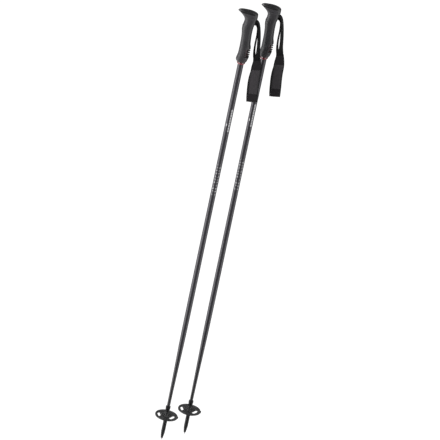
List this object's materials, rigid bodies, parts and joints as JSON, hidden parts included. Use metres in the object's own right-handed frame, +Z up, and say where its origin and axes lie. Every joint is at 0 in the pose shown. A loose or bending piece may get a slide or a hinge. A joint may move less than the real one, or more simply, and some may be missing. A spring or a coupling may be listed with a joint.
{
  "type": "climbing pole pair",
  "caption": "Pair of one-piece tapered climbing poles: shaped grips with a thumb beak and red core, wrist straps, ferrules with steel spikes and pull-off baskets.",
  "frame": {"origin": "centre of the end face of the left pole's spike, on the ground", "axes": "+Z up the shafts; -X the front of the grips, where the beaks point; +X the back, where the straps hang; +Y from the left pole towards the right pole"},
  "size_m": [0.1425, 0.1104, 1.2],
  "materials": {
    "shaft_paint": "satin dark grey lacquer with printed marks, over aluminium",
    "red_plastic": "glossy red",
    "grip_rubber": "matt soft rubber",
    "cap_plastic": "semi-gloss black",
    "lock_plastic": "matt black",
    "steel": "bare hardened steel",
    "webbing": "woven black tape",
    "pad_cloth": "dark grey padded cloth with black binding",
    "tip_plastic": "moulded black nylon",
    "basket_plastic": "moulded black nylon"
  },
  "bodies": {
    "left_pole": {"left_shaft": "shaft_paint", "left_grip_core": "red_plastic", "left_grip_body": "grip_rubber", "left_grip_cap": "cap_plastic", "left_ferrule": "tip_plastic", "left_spike": "steel"},
    "left_strap_lock": {"left_strap_wedge": "lock_plastic", "left_strap_pin": "steel"},
    "left_strap": {"left_strap_webbing": "webbing", "left_strap_pad": "pad_cloth"},
    "left_basket": {"left_basket": "basket_plastic"},
    "right_pole": {"right_shaft": "shaft_paint", "right_grip_core": "red_plastic", "right_grip_body": "grip_rubber", "right_grip_cap": "cap_plastic", "right_ferrule": "tip_plastic", "right_spike": "steel"},
    "right_strap_lock": {"right_strap_wedge": "lock_plastic", "right_strap_pin": "steel"},
    "right_strap": {"right_strap_webbing": "webbing", "right_strap_pad": "pad_cloth"},
    "right_basket": {"right_basket": "basket_plastic"}
  },
  "joints": [
    {"name": "left_strap_lock_slide", "type": "slide", "parent": "left_pole", "child": "left_strap_lock", "axis": [1, 0, 0], "range_m": [0, 0.006]},
    {"name": "left_strap_swing", "type": "hinge", "parent": "left_strap_lock", "child": "left_strap", "pos_m": [0.0186, 0, 1.169], "axis": [0, -1, 0], "range_deg": [-4, 75]},
    {"name": "left_basket_pull", "type": "slide", "parent": "left_pole", "child": "left_basket", "axis": [0, 0, -1], "range_m": [0, 0.085]},
    {"name": "right_strap_lock_slide", "type": "slide", "parent": "right_pole", "child": "right_strap_lock", "axis": [1, 0, 0], "range_m": [0, 0.006]},
    {"name": "right_strap_swing", "type": "hinge", "parent": "right_strap_lock", "child": "right_strap", "pos_m": [0.0706, 0.054, 1.169], "axis": [0, -1, 0], "range_deg": [-4, 75]},
    {"name": "right_basket_pull", "type": "slide", "parent": "right_pole", "child": "right_basket", "axis": [0, 0, -1], "range_m": [0, 0.085]},
    {"name": "right_pole_apart", "type": "slide", "parent": "left_pole", "child": "right_pole", "axis": [0, 1, 0], "range_m": [0, 0.3]}
  ]
}
